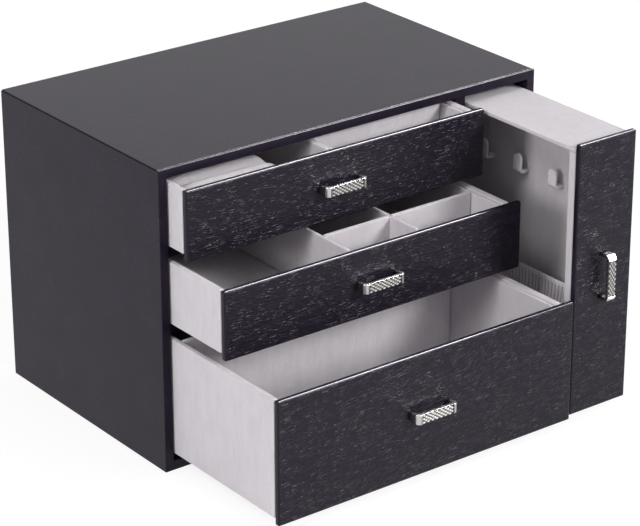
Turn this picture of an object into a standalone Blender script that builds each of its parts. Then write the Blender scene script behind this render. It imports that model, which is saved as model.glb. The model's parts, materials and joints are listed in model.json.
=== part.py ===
"""Jewellery box: a covered case with three stacked drawers and one tall side drawer.

Metres, +Z up. The origin is the middle of the case's underside. +X is to the right and the
drawers slide out towards -Y. Every drawer stands as far open as it does in the picture.
"""

import math

import bmesh
import bpy
from mathutils import Matrix, Vector

# The case and its boards
CASE_WIDTH = 0.300
CASE_DEPTH = 0.181
CASE_HEIGHT = 0.204
CASE_BOARD = 0.006
BASE_BOARD = 0.011
SHELF_BOARD = 0.009
PARTITION_BOARD = 0.009
TOP_BAY_HEIGHT = 0.0455
MIDDLE_BAY_HEIGHT = 0.0430
TALL_BAY_WIDTH = 0.0495
CASE_ROUND = 0.0016
INNER_ROUND = 0.0006

# Clearances
JOINT_GAP = 0.0003
CLOSING_GAP = 0.0005
SIDE_PLAY = 0.0012
TALL_SIDE_PLAY = 0.0006
HEAD_PLAY = 0.0008
TOP_HEAD_PLAY = 0.0032
REAR_PLAY = 0.0015
CUT_OVERRUN = 0.0010

# How far each drawer stands open
TOP_PULL = 0.0184
MIDDLE_PULL = 0.0565
BOTTOM_PULL = 0.1093
TALL_PULL = 0.1052

# The drawers' boards
FRONT_BOARD = 0.0040
FRONT_DROP = 0.0042
FRONT_OVERHANG = 0.0071
FRONT_ROUND = 0.0011
LEFT_WALL = 0.0036
RIGHT_WALL = 0.0052
BACK_WALL = 0.0040
DRAWER_BOTTOM = 0.0030
WALL_ROUND = 0.0006
LINING = 0.0024
LINING_DROP = 0.0007
LINING_ROUND = 0.0005
FRONT_CARD = 0.0010
FRONT_CARD_DROP = 0.0025
DIVIDER = 0.0030
DIVIDER_ROUND = 0.0007
TOP_DIVIDER_AT = 0.1093
TOP_CROSS_AT = 0.0264
MIDDLE_LEFT_DIVIDER_AT = 0.0966
MIDDLE_DIVIDER_AT = 0.1513
MIDDLE_CROSS_AT = 0.0317
BOTTOM_CROSS_AT = 0.1028

# The padding in the top drawer
RING_PAD_TOP_DROP = 0.0110
RING_PAD_LOBE = 0.0060
RING_PAD_LANES = 5
ROLL_PAD_LENGTH = 0.0770
ROLL_PAD_TOP_DROP = 0.0030
ROLL_PAD_LOBE = 0.0070
ROLL_PAD_ROLLS = 9
PAD_END_ROUND = 0.0070
PAD_GAP = 0.0005

# The tall drawer
TALL_TOP_DROP = 0.0033
TALL_TOP_PANEL = 0.0026
TALL_SIDE_PANEL = 0.0045
TALL_FRONT_WALL = 0.0055

# Hooks on the side panel: a foot off the panel, bent up into a paddle with a round top
HOOK_FIRST = 0.0640
HOOK_PITCH = 0.0345
HOOK_FOOT_HEIGHT = 0.1385
HOOK_HEIGHT = 0.0132
HOOK_REACH = 0.0082
HOOK_WIDTH = 0.0075
HOOK_THICKNESS = 0.0022
HOOK_BEND = 0.0020
HOOK_ROUND = 0.0004
HOOK_PEG_RADIUS = 0.0016
HOOK_PEG_LENGTH = 0.0036
PEG_PLAY = 0.0003

# The gathered pocket on the side panel
POCKET_HEM_HEIGHT = 0.0770
POCKET_FOOT_HEIGHT = 0.0190
POCKET_HEM_DEPTH = 0.0115
POCKET_BELLY = 0.0190
POCKET_BELLY_HEIGHT = 0.0280
POCKET_END_MARGIN = 0.0050
POCKET_CLOTH = 0.0012
POCKET_WALL_GAP = 0.0008
PLEAT_DEPTH = 0.0011
PLEAT_LEAN = 0.0160
PLEATS = 18

# The bent pull handles and their screws
HANDLE_LENGTH = 0.0325
HANDLE_REACH = 0.0092
HANDLE_BAR_WIDTH = 0.0068
HANDLE_FOOT_WIDTH = 0.0054
HANDLE_THICKNESS = 0.0028
HANDLE_BEND = 0.0022
HANDLE_ROUND = 0.0004
HANDLE_SHIFT = 0.0012
BOTTOM_HANDLE_RAISE = 0.0020
SCREW_RADIUS = 0.0008
SCREW_PLAY = 0.0002
SCREW_GRIP = 0.0045
SCREW_HEAD_RADIUS = 0.0019
SCREW_HEAD = 0.0011
SCREW_HEAD_EASE = 0.0004
SCREW_SLOT = 0.0005
MERGE = 0.00001

# Counts of the round and soft shapes
ROUND_SIDES = 16
TIP_TURN = 86
POCKET_SQUARENESS = 5
BEND_STEPS = 5
TIP_STEPS = 5
SHARP_ANGLE = 50
PLEAT_COLUMNS = 4
POCKET_ROWS = 7
LOBE_COLUMNS = 6
LOBE_LENGTH_ROWS = 8

# Places that follow from the values above
HALF_WIDTH = CASE_WIDTH / 2
HALF_DEPTH = CASE_DEPTH / 2
INNER_LEFT = CASE_BOARD - HALF_WIDTH
INNER_RIGHT = HALF_WIDTH - CASE_BOARD
INNER_BACK = HALF_DEPTH - CASE_BOARD
UNDER_TOP = CASE_HEIGHT - CASE_BOARD
PARTITION_RIGHT = INNER_RIGHT - TALL_BAY_WIDTH
PARTITION_LEFT = PARTITION_RIGHT - PARTITION_BOARD
UPPER_SHELF_TOP = UNDER_TOP - TOP_BAY_HEIGHT
UPPER_SHELF_UNDER = UPPER_SHELF_TOP - SHELF_BOARD
LOWER_SHELF_TOP = UPPER_SHELF_UNDER - MIDDLE_BAY_HEIGHT
LOWER_SHELF_UNDER = LOWER_SHELF_TOP - SHELF_BOARD
SET_BACK = FRONT_BOARD + CLOSING_GAP - HALF_DEPTH
FRONT_FACE = -HALF_DEPTH
BOX_FRONT = FRONT_FACE + FRONT_BOARD + JOINT_GAP
BOX_BACK = INNER_BACK - REAR_PLAY
LEFT_DRAWER_FLOOR = BASE_BOARD + JOINT_GAP
TALL_LEFT = PARTITION_RIGHT + TALL_SIDE_PLAY
TALL_RIGHT = INNER_RIGHT - TALL_SIDE_PLAY
TALL_INNER_RIGHT = TALL_RIGHT - TALL_SIDE_PANEL

PARTS = "jewellery_box"
CUTTERS = "jewellery_box_cutters"


def clear_scene():
    for thing in list(bpy.data.objects):
        bpy.data.objects.remove(thing, do_unlink=True)
    for name in (PARTS, CUTTERS):
        bpy.context.scene.collection.children.link(bpy.data.collections.new(name))


def finish(name, colour, roughness, metallic=0.0):
    made = bpy.data.materials.new(name)
    made.use_nodes = True
    shader = made.node_tree.nodes["Principled BSDF"]
    shader.inputs["Base Color"].default_value = (*colour, 1)
    shader.inputs["Roughness"].default_value = roughness
    shader.inputs["Metallic"].default_value = metallic
    return made


def finishes():
    return {
        "case": finish("black_leatherette", (0.045, 0.042, 0.048), 0.42),
        "front": finish("embossed_black_leatherette", (0.020, 0.018, 0.021), 0.30),
        "suede": finish("pale_lilac_suede", (0.56, 0.53, 0.545), 0.95),
        "pad": finish("padded_suede", (0.58, 0.55, 0.565), 0.95),
        "cloth": finish("gathered_velvet", (0.40, 0.38, 0.40), 0.95),
        "metal": finish("nickel_plate", (0.80, 0.77, 0.74), 0.22, 1.0),
        "plastic": finish("pale_plastic", (0.60, 0.57, 0.58), 0.45),
        "steel": finish("zinc_plated_steel", (0.62, 0.62, 0.62), 0.35, 1.0),
    }


def body(name, origin):
    """An empty on a drawer's line of travel, which carries the drawer's pieces."""
    made = bpy.data.objects.new(name, None)
    made.location = origin
    bpy.data.collections[PARTS].objects.link(made)
    return made


def placed(name, mesh, place, carrier=None, group=PARTS):
    """An object with its origin at place, a world position, under its carrier."""
    made = bpy.data.objects.new(name, mesh)
    bpy.data.collections[group].objects.link(made)
    made.location = Vector(place)
    if carrier:
        made.parent = carrier
        made.location = Vector(place) - carrier.location
    return made


def box_mesh(name, size):
    shape = bmesh.new()
    bmesh.ops.create_cube(shape, size=1, matrix=Matrix.Diagonal((*size, 1)))
    mesh = bpy.data.meshes.new(name)
    shape.to_mesh(mesh)
    shape.free()
    return mesh


def rounded(made, width, steps=1):
    edge = made.modifiers.new("rounded_edges", "BEVEL")
    edge.width = width
    edge.segments = steps
    edge.limit_method = "ANGLE"
    edge.angle_limit = math.radians(SHARP_ANGLE)
    return edge


def board(name, low, high, material, carrier=None, edge=WALL_ROUND, steps=1):
    """A board between two corners, with its edges eased."""
    low, high = Vector(low), Vector(high)
    made = placed(name, box_mesh(name, high - low), (low + high) / 2, carrier)
    made.data.materials.append(material)
    rounded(made, edge, steps)
    return made


def cutter(name, low, high, carrier=None):
    low, high = Vector(low), Vector(high)
    made = placed(name, box_mesh(name, high - low), (low + high) / 2, carrier, CUTTERS)
    made.hide_render = True
    made.display_type = "WIRE"
    return made


def round_cutter(name, centre, radius, length, axis, carrier=None):
    """A cylinder round centre along axis, a unit vector."""
    shape = bmesh.new()
    turn = Vector((0, 0, 1)).rotation_difference(Vector(axis)).to_matrix().to_4x4()
    bmesh.ops.create_cone(shape, cap_ends=True, segments=ROUND_SIDES, radius1=radius,
                          radius2=radius, depth=length, matrix=turn)
    mesh = bpy.data.meshes.new(name)
    shape.to_mesh(mesh)
    shape.free()
    made = placed(name, mesh, centre, carrier, CUTTERS)
    made.hide_render = True
    made.display_type = "WIRE"
    return made


def combine(made, other, operation="DIFFERENCE"):
    step = made.modifiers.new(other.name, "BOOLEAN")
    step.operation = operation
    step.solver = "EXACT"
    step.object = other


def bent_strip(name, route, half_widths, thickness, material, place, turn, carrier):
    """A strip of even thickness along a flat route, as wide at each point as it is told.

    The route lies in the local XY plane and the strip's width runs along local Z.
    """
    shape = bmesh.new()
    rails = []
    for (x, y), half in zip(route, half_widths):
        rails.append((shape.verts.new((x, y, -half)), shape.verts.new((x, y, half))))
    for (low, high), (next_low, next_high) in zip(rails, rails[1:]):
        shape.faces.new((low, next_low, next_high, high))
    shape.transform(turn)
    mesh = bpy.data.meshes.new(name)
    shape.to_mesh(mesh)
    shape.free()
    made = placed(name, mesh, place, carrier)
    mesh.materials.append(material)
    wall = made.modifiers.new("thickness", "SOLIDIFY")
    wall.thickness = thickness
    wall.offset = 0
    wall.use_even_offset = True
    return made


def arc(centre, radius, start, end, steps):
    """Points of a round stretch, from one angle in degrees to another."""
    points = []
    for i in range(steps + 1):
        angle = math.radians(start + (end - start) * i / steps)
        points.append((centre[0] + radius * math.cos(angle), centre[1] + radius * math.sin(angle)))
    return points


def handle(name, centre, upright, crossed, material, steel, carrier):
    """A pull bent from a flat bar, whose two legs stand on the drawer front, and its screws.

    centre is the middle of the handle's foot, on the front's face, and crossed is the thickness
    of board that a screw passes before its leg.
    """
    along = Vector((0, 0, 1)) if upright else Vector((1, 0, 0))
    turn = Matrix.Rotation(math.radians(-90), 4, "Y") if upright else Matrix.Identity(4)
    leg_at = (HANDLE_LENGTH - HANDLE_THICKNESS) / 2
    bar_at = HANDLE_THICKNESS / 2 - HANDLE_REACH
    left = arc((HANDLE_BEND - leg_at, bar_at + HANDLE_BEND), HANDLE_BEND, 180, 270, BEND_STEPS)
    right = arc((leg_at - HANDLE_BEND, bar_at + HANDLE_BEND), HANDLE_BEND, 270, 360, BEND_STEPS)
    route = [(-leg_at, -JOINT_GAP), *left, *right, (leg_at, -JOINT_GAP)]
    half_widths = [HANDLE_BAR_WIDTH / 2] * len(route)
    half_widths[0] = half_widths[-1] = HANDLE_FOOT_WIDTH / 2
    made = bent_strip(name + "_handle", route, half_widths, HANDLE_THICKNESS, material, centre,
                      turn, carrier)
    rounded(made, HANDLE_ROUND)
    for side, sign in (("first", -1), ("second", 1)):
        foot = Vector(centre) + along * leg_at * sign
        depth = SCREW_GRIP + SCREW_PLAY
        hole = round_cutter(f"{name}_{side}_leg_hole", foot - Vector((0, depth / 2, 0)),
                            SCREW_RADIUS + SCREW_PLAY, depth, (0, 1, 0), carrier)
        combine(made, hole)
        screw(f"{name}_{side}_screw", foot, crossed, steel, carrier)


def screw(name, foot, crossed, material, carrier):
    """A slotted machine screw from the back of the board into a handle's leg."""
    under = crossed - SCREW_HEAD - SCREW_PLAY
    top = under + SCREW_HEAD
    outline = [(0, top), (SCREW_HEAD_RADIUS - SCREW_HEAD_EASE, top),
               (SCREW_HEAD_RADIUS, top - SCREW_HEAD_EASE), (SCREW_HEAD_RADIUS, under),
               (SCREW_RADIUS, under), (SCREW_RADIUS, -SCREW_GRIP), (0, -SCREW_GRIP)]
    shape = bmesh.new()
    corners = [shape.verts.new((radius, height, 0)) for radius, height in outline]
    for pair in zip(corners, corners[1:]):
        shape.edges.new(pair)
    mesh = bpy.data.meshes.new(name)
    shape.to_mesh(mesh)
    shape.free()
    made = placed(name, mesh, foot, carrier)
    mesh.materials.append(material)
    turned = made.modifiers.new("turned", "SCREW")
    turned.axis = "Y"
    turned.steps = turned.render_steps = ROUND_SIDES
    turned.use_merge_vertices = True
    turned.merge_threshold = MERGE
    back = foot[1] + top
    half = SCREW_HEAD_RADIUS + CUT_OVERRUN
    combine(made, cutter(name + "_slot",
                         (foot[0] - SCREW_SLOT / 2, back - SCREW_SLOT, foot[2] - half),
                         (foot[0] + SCREW_SLOT / 2, back + CUT_OVERRUN, foot[2] + half), carrier))


def screw_holes(made, name, centre, upright, crossed, carrier, headed):
    """The two holes for a handle's screws through a board, with a recess for the heads."""
    along = Vector((0, 0, 1)) if upright else Vector((1, 0, 0))
    leg_at = (HANDLE_LENGTH - HANDLE_THICKNESS) / 2
    length = crossed + CUT_OVERRUN * 2
    for side, sign in (("first", -1), ("second", 1)):
        foot = Vector(centre) + along * leg_at * sign
        middle = foot + Vector((0, crossed / 2, 0))
        combine(made, round_cutter(f"{name}_{side}_hole", middle, SCREW_RADIUS + SCREW_PLAY,
                                   length, (0, 1, 0), carrier))
        if headed:
            sink = SCREW_HEAD + SCREW_PLAY * 2 + CUT_OVERRUN
            middle = foot + Vector((0, crossed + CUT_OVERRUN - sink / 2, 0))
            combine(made, round_cutter(f"{name}_{side}_recess", middle,
                                       SCREW_HEAD_RADIUS + SCREW_PLAY, sink, (0, 1, 0), carrier))


def lobed_pad(name, low, high, lobes, lobe_height, along, material, carrier):
    """A padded block whose top swells into rolls side by side, each rounded down at its ends.

    along is 0 when the rolls lie along X and 1 when they lie along Y.
    """
    low, high = Vector(low), Vector(high)
    size = high - low
    across = 1 - along
    counts = [0, 0]
    counts[across] = lobes * LOBE_COLUMNS
    counts[along] = LOBE_LENGTH_ROWS
    shape = bmesh.new()
    bmesh.ops.create_grid(shape, x_segments=counts[0], y_segments=counts[1], size=0.5)
    spread = Matrix.Diagonal((size.x, size.y, 1, 1))
    bmesh.ops.transform(shape, matrix=spread, verts=shape.verts)
    grown = bmesh.ops.extrude_face_region(shape, geom=shape.faces[:], use_keep_orig=True)
    for vert in [item for item in grown["geom"] if isinstance(item, bmesh.types.BMVert)]:
        share = vert.co[across] / size[across] + 0.5
        turn = math.pi * (share * lobes % 1)
        crown = math.sqrt(max(0, math.sin(turn)))
        from_end = size[along] / 2 - abs(vert.co[along])
        ease = min(1, from_end / PAD_END_ROUND)
        end = math.sqrt(1 - (1 - ease) ** 2)
        vert.co.z = size.z - lobe_height * (1 - crown * end)
    bmesh.ops.recalc_face_normals(shape, faces=shape.faces)
    mesh = bpy.data.meshes.new(name)
    shape.to_mesh(mesh)
    shape.free()
    middle = (low + high) / 2
    placed(name, mesh, (middle.x, middle.y, low.z), carrier)
    mesh.materials.append(material)
    mesh.shade_smooth()


def build_case(looks):
    leather = looks["case"]
    under_top = UNDER_TOP - JOINT_GAP
    board("case_top", (-HALF_WIDTH, -HALF_DEPTH, UNDER_TOP), (HALF_WIDTH, HALF_DEPTH, CASE_HEIGHT),
          leather, edge=CASE_ROUND, steps=2)
    board("case_left_side", (-HALF_WIDTH, -HALF_DEPTH, 0), (INNER_LEFT, HALF_DEPTH, under_top),
          leather, edge=INNER_ROUND)
    board("case_right_side", (INNER_RIGHT, -HALF_DEPTH, 0), (HALF_WIDTH, HALF_DEPTH, under_top),
          leather, edge=INNER_ROUND)
    left, right = INNER_LEFT + JOINT_GAP, INNER_RIGHT - JOINT_GAP
    board("case_back", (left, INNER_BACK, 0), (right, HALF_DEPTH, under_top), leather,
          edge=INNER_ROUND)
    back = INNER_BACK - JOINT_GAP
    base = board("case_bottom", (left, -HALF_DEPTH, 0), (right, back, BASE_BOARD), leather,
                 edge=INNER_ROUND)
    step_top = LEFT_DRAWER_FLOOR - FRONT_DROP - CLOSING_GAP
    combine(base, cutter("front_rebate", (left - CUT_OVERRUN, -HALF_DEPTH - CUT_OVERRUN, step_top),
                         (right + CUT_OVERRUN, SET_BACK, BASE_BOARD + CUT_OVERRUN)))
    board("partition", (PARTITION_LEFT, SET_BACK, BASE_BOARD + JOINT_GAP),
          (PARTITION_RIGHT, back, under_top), leather, edge=INNER_ROUND)
    shelf_right = PARTITION_LEFT - JOINT_GAP
    for name, under, top in (("lower_shelf", LOWER_SHELF_UNDER, LOWER_SHELF_TOP),
                             ("upper_shelf", UPPER_SHELF_UNDER, UPPER_SHELF_TOP)):
        board(name, (left, SET_BACK, under), (shelf_right, back, top), leather, edge=INNER_ROUND)


class Drawer:
    """One of the stacked drawers: where its box lies, standing open by pull."""

    def __init__(self, name, floor, top, pull, handle_raise=0):
        self.name = name
        self.left = INNER_LEFT + SIDE_PLAY
        self.right = PARTITION_LEFT - SIDE_PLAY
        self.floor = floor
        self.top = top
        self.face = FRONT_FACE - pull
        self.front = BOX_FRONT - pull
        self.back = BOX_BACK - pull
        self.inner_left = self.left + LEFT_WALL
        self.inner_right = self.right - RIGHT_WALL
        self.inner_front = self.front + FRONT_CARD + JOINT_GAP
        self.inner_back = self.back - BACK_WALL
        self.bed = floor + DRAWER_BOTTOM + JOINT_GAP
        middle = (self.left + self.right + FRONT_OVERHANG) / 2
        handle_height = (floor - FRONT_DROP + top) / 2 + handle_raise
        self.handle_centre = (middle - HANDLE_SHIFT, self.face, handle_height)
        self.carrier = body(name, (middle, self.face, floor))


def build_drawer_box(drawer, looks):
    """The front, walls, bottom, linings, handle and screws that all stacked drawers share."""
    name, suede, carrier = drawer.name, looks["suede"], drawer.carrier
    crossed = FRONT_BOARD
    front = board(name + "_front", (drawer.left, drawer.face, drawer.floor - FRONT_DROP),
                  (drawer.right + FRONT_OVERHANG, drawer.face + FRONT_BOARD, drawer.top),
                  looks["front"], carrier, FRONT_ROUND, 2)
    screw_holes(front, name, drawer.handle_centre, False, crossed, carrier, True)
    board(name + "_left_wall", (drawer.left, drawer.front, drawer.floor),
          (drawer.inner_left, drawer.back, drawer.top), suede, carrier)
    board(name + "_right_wall", (drawer.inner_right, drawer.front, drawer.floor),
          (drawer.right, drawer.back, drawer.top), suede, carrier)
    between_left, between_right = drawer.inner_left + JOINT_GAP, drawer.inner_right - JOINT_GAP
    board(name + "_back_wall", (between_left, drawer.inner_back, drawer.floor),
          (between_right, drawer.back, drawer.top), suede, carrier)
    board(name + "_bottom", (between_left, drawer.front, drawer.floor),
          (between_right, drawer.inner_back - JOINT_GAP, drawer.floor + DRAWER_BOTTOM), suede, carrier,
          LINING_ROUND)
    board(name + "_front_lining", (between_left, drawer.front, drawer.bed),
          (between_right, drawer.front + FRONT_CARD, drawer.top - FRONT_CARD_DROP), suede, carrier,
          JOINT_GAP)
    drawer.lining_right = drawer.inner_right - JOINT_GAP
    board(name + "_right_lining", (drawer.lining_right - LINING, drawer.inner_front, drawer.bed),
          (drawer.lining_right, drawer.inner_back - JOINT_GAP, drawer.top - LINING_DROP), suede,
          carrier, LINING_ROUND)
    drawer.room_right = drawer.lining_right - LINING - JOINT_GAP
    drawer.room_left = between_left
    drawer.room_back = drawer.inner_back - JOINT_GAP
    handle(name, drawer.handle_centre, False, crossed, looks["metal"], looks["steel"], carrier)


def lengthways_divider(drawer, name, at, looks):
    """A divider from front to back, whose left face stands at a distance from the box's left."""
    left = drawer.left + at
    return board(name, (left, drawer.inner_front, drawer.bed),
                 (left + DIVIDER, drawer.room_back, drawer.top), looks["suede"], drawer.carrier,
                 DIVIDER_ROUND)


def cross_divider(drawer, name, left, right, at, looks):
    """A divider from side to side, whose front face stands at a distance behind the front."""
    front = drawer.face + at
    return board(name, (left, front, drawer.bed), (right, front + DIVIDER, drawer.top),
                 looks["suede"], drawer.carrier, DIVIDER_ROUND)


def build_top_drawer(looks):
    floor = UPPER_SHELF_TOP + JOINT_GAP
    drawer = Drawer("top_drawer", floor, UNDER_TOP - TOP_HEAD_PLAY, TOP_PULL)
    build_drawer_box(drawer, looks)
    lengthways_divider(drawer, "top_drawer_divider", TOP_DIVIDER_AT, looks)
    divider_left = drawer.left + TOP_DIVIDER_AT
    lining_left = divider_left + DIVIDER + JOINT_GAP
    board("top_drawer_divider_lining", (lining_left, drawer.inner_front, drawer.bed),
          (lining_left + LINING, drawer.room_back, drawer.top - LINING_DROP), looks["suede"],
          drawer.carrier, LINING_ROUND)
    tray_left = lining_left + LINING + JOINT_GAP
    cross_divider(drawer, "top_drawer_cross_divider", tray_left, drawer.room_right, TOP_CROSS_AT, looks)
    pad_back = drawer.face + TOP_CROSS_AT - PAD_GAP
    lobed_pad("top_drawer_ring_pad", (tray_left + PAD_GAP, drawer.inner_front + PAD_GAP, drawer.bed),
              (drawer.room_right - PAD_GAP, pad_back, drawer.top - RING_PAD_TOP_DROP),
              RING_PAD_LANES, RING_PAD_LOBE, 1, looks["pad"], drawer.carrier)
    roll_left = drawer.room_left + PAD_GAP
    lobed_pad("top_drawer_roll_pad", (roll_left, drawer.inner_front + PAD_GAP, drawer.bed),
              (roll_left + ROLL_PAD_LENGTH, drawer.room_back - PAD_GAP, drawer.top - ROLL_PAD_TOP_DROP),
              ROLL_PAD_ROLLS, ROLL_PAD_LOBE, 0, looks["pad"], drawer.carrier)


def build_middle_drawer(looks):
    floor = LOWER_SHELF_TOP + JOINT_GAP
    drawer = Drawer("middle_drawer", floor, UPPER_SHELF_UNDER - HEAD_PLAY, MIDDLE_PULL)
    build_drawer_box(drawer, looks)
    lengthways_divider(drawer, "middle_drawer_left_divider", MIDDLE_LEFT_DIVIDER_AT, looks)
    middle = lengthways_divider(drawer, "middle_drawer_middle_divider", MIDDLE_DIVIDER_AT, looks)
    left = drawer.left + MIDDLE_LEFT_DIVIDER_AT + DIVIDER + JOINT_GAP
    cross = cross_divider(drawer, "middle_drawer_cross_divider", left, drawer.room_right,
                          MIDDLE_CROSS_AT, looks)
    half = (drawer.bed + drawer.top) / 2
    crossing_left = drawer.left + MIDDLE_DIVIDER_AT
    crossing_front = drawer.face + MIDDLE_CROSS_AT
    combine(cross, cutter("half_lap_from_above",
                          (crossing_left - JOINT_GAP, crossing_front - CUT_OVERRUN, half - JOINT_GAP / 2),
                          (crossing_left + DIVIDER + JOINT_GAP, crossing_front + DIVIDER + CUT_OVERRUN,
                           drawer.top + CUT_OVERRUN), drawer.carrier))
    combine(middle, cutter("half_lap_from_below",
                           (crossing_left - CUT_OVERRUN, crossing_front - JOINT_GAP,
                            drawer.bed - CUT_OVERRUN),
                           (crossing_left + DIVIDER + CUT_OVERRUN, crossing_front + DIVIDER + JOINT_GAP,
                            half + JOINT_GAP / 2), drawer.carrier))


def build_bottom_drawer(looks):
    drawer = Drawer("bottom_drawer", LEFT_DRAWER_FLOOR, LOWER_SHELF_UNDER - HEAD_PLAY, BOTTOM_PULL,
                    BOTTOM_HANDLE_RAISE)
    build_drawer_box(drawer, looks)
    cross_divider(drawer, "bottom_drawer_cross_divider", drawer.room_left, drawer.room_right,
                  BOTTOM_CROSS_AT, looks)


def build_hook(name, behind_face, face, panel, looks, carrier):
    """A hook whose foot is pegged in the side panel, with the hole for its peg."""
    paddle_at = HOOK_THICKNESS / 2 - HOOK_REACH
    bend = arc((paddle_at + HOOK_BEND, HOOK_BEND), HOOK_BEND, 270, 180, BEND_STEPS)
    tip_radius = HOOK_WIDTH / 2
    tip_start = HOOK_HEIGHT - HOOK_THICKNESS / 2 - tip_radius
    route = [(-JOINT_GAP, 0), *bend]
    half_widths = [tip_radius] * len(route)
    for i in range(TIP_STEPS + 1):
        angle = math.radians(TIP_TURN) * i / TIP_STEPS
        route.append((paddle_at, tip_start + tip_radius * math.sin(angle)))
        half_widths.append(tip_radius * math.cos(angle))
    turn = Matrix.Rotation(math.radians(90), 4, "X")
    place = (TALL_INNER_RIGHT, face + behind_face, HOOK_FOOT_HEIGHT)
    made = bent_strip(name, route, half_widths, HOOK_THICKNESS, looks["plastic"], place, turn,
                      carrier)
    start = place[0] - HOOK_THICKNESS
    length = HOOK_THICKNESS + HOOK_PEG_LENGTH
    peg_centre = (start + length / 2, place[1], place[2])
    combine(made, round_cutter(name + "_peg", peg_centre, HOOK_PEG_RADIUS, length, (1, 0, 0), carrier),
            "UNION")
    rounded(made, HOOK_ROUND)
    hole_length = HOOK_PEG_LENGTH + JOINT_GAP + CUT_OVERRUN
    hole_centre = (place[0] - CUT_OVERRUN + hole_length / 2, place[1], place[2])
    combine(panel, round_cutter(name + "_hole", hole_centre, HOOK_PEG_RADIUS + PEG_PLAY,
                                hole_length, (1, 0, 0), carrier))


def build_pocket(front, back, looks, carrier):
    """A gathered cloth pocket: open along its elastic hem, closed to the panel on its other sides.

    One open sheet, pleated all along, thickened by Solidify.
    """
    columns = PLEATS * PLEAT_COLUMNS
    length = back - front
    shape = bmesh.new()
    rows = []
    for row in range(POCKET_ROWS + 1):
        rise = row / POCKET_ROWS
        height = POCKET_FOOT_HEIGHT + rise * (POCKET_HEM_HEIGHT - POCKET_FOOT_HEIGHT)
        above = height - POCKET_FOOT_HEIGHT
        if above < POCKET_BELLY_HEIGHT:
            depth = POCKET_BELLY * math.sqrt(1 - (1 - above / POCKET_BELLY_HEIGHT) ** 2)
        else:
            top_of_cloth = POCKET_HEM_HEIGHT - POCKET_FOOT_HEIGHT
            share = (above - POCKET_BELLY_HEIGHT) / (top_of_cloth - POCKET_BELLY_HEIGHT)
            ease = (1 - math.cos(math.pi * share)) / 2
            depth = POCKET_BELLY + (POCKET_HEM_DEPTH - POCKET_BELLY) * ease
        line = []
        for column in range(columns + 1):
            at = column / columns
            plan = (1 - abs(2 * at - 1) ** POCKET_SQUARENESS) ** (1 / POCKET_SQUARENESS)
            swell = PLEAT_DEPTH * plan * min(1, depth / POCKET_HEM_DEPTH)
            pleat = math.cos(math.tau * PLEATS * at) * swell
            lean = PLEAT_LEAN * (1 - rise) * plan
            y = front + at * length - lean * math.sin(math.pi * at)
            x = TALL_INNER_RIGHT - POCKET_WALL_GAP - depth * plan - pleat
            line.append(shape.verts.new((x, y, height)))
        rows.append(line)
    for lower, upper in zip(rows, rows[1:]):
        for column in range(columns):
            shape.faces.new((lower[column], upper[column], upper[column + 1], lower[column + 1]))
    bmesh.ops.recalc_face_normals(shape, faces=shape.faces)
    mesh = bpy.data.meshes.new("tall_drawer_pocket")
    origin = Vector((TALL_INNER_RIGHT, (front + back) / 2, POCKET_HEM_HEIGHT))
    shape.transform(Matrix.Translation(-origin))
    shape.to_mesh(mesh)
    shape.free()
    made = placed("tall_drawer_pocket", mesh, origin, carrier)
    mesh.materials.append(looks["cloth"])
    mesh.shade_smooth()
    wall = made.modifiers.new("cloth_thickness", "SOLIDIFY")
    wall.thickness = POCKET_CLOTH
    wall.offset = 0


def build_tall_drawer(looks):
    suede = looks["suede"]
    face = FRONT_FACE - TALL_PULL
    front, back = BOX_FRONT - TALL_PULL, BOX_BACK - TALL_PULL
    floor = LEFT_DRAWER_FLOOR
    front_top = UNDER_TOP - TOP_HEAD_PLAY
    top = front_top - TALL_TOP_DROP
    carrier = body("tall_drawer", ((TALL_LEFT + TALL_RIGHT) / 2, face, floor))
    centre = ((TALL_LEFT + TALL_RIGHT) / 2, face, (floor - FRONT_DROP + front_top) / 2)
    crossed = FRONT_BOARD + JOINT_GAP + TALL_FRONT_WALL
    panel = board("tall_drawer_front", (TALL_LEFT, face, floor - FRONT_DROP),
                  (TALL_RIGHT, face + FRONT_BOARD, front_top), looks["front"], carrier, FRONT_ROUND, 2)
    screw_holes(panel, "tall_front", centre, True, crossed, carrier, False)
    under_top_panel = top - TALL_TOP_PANEL - JOINT_GAP
    wall = board("tall_drawer_front_wall", (TALL_LEFT, front, floor),
                 (TALL_RIGHT, front + TALL_FRONT_WALL, under_top_panel), suede, carrier)
    screw_holes(wall, "tall_wall", centre, True, crossed, carrier, True)
    inside_front = front + TALL_FRONT_WALL + JOINT_GAP
    inside_back = back - BACK_WALL - JOINT_GAP
    board("tall_drawer_back_wall", (TALL_LEFT, back - BACK_WALL, floor),
          (TALL_RIGHT, back, under_top_panel), suede, carrier)
    board("tall_drawer_top_panel", (TALL_LEFT, front, top - TALL_TOP_PANEL), (TALL_RIGHT, back, top),
          suede, carrier)
    board("tall_drawer_bottom", (TALL_LEFT, inside_front, floor),
          (TALL_INNER_RIGHT - JOINT_GAP, inside_back, floor + DRAWER_BOTTOM), suede, carrier)
    side = board("tall_drawer_side_panel", (TALL_INNER_RIGHT, inside_front, floor),
                 (TALL_RIGHT, inside_back, under_top_panel), suede, carrier)
    for number, place in enumerate(("front", "middle", "rear")):
        build_hook("tall_drawer_hook_" + place, HOOK_FIRST + HOOK_PITCH * number, face, side, looks,
                   carrier)
    build_pocket(inside_front + POCKET_END_MARGIN, inside_back - POCKET_END_MARGIN, looks, carrier)
    handle("tall_drawer", centre, True, crossed, looks["metal"], looks["steel"], carrier)


def main():
    clear_scene()
    looks = finishes()
    build_case(looks)
    build_top_drawer(looks)
    build_middle_drawer(looks)
    build_bottom_drawer(looks)
    build_tall_drawer(looks)


main()
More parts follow.
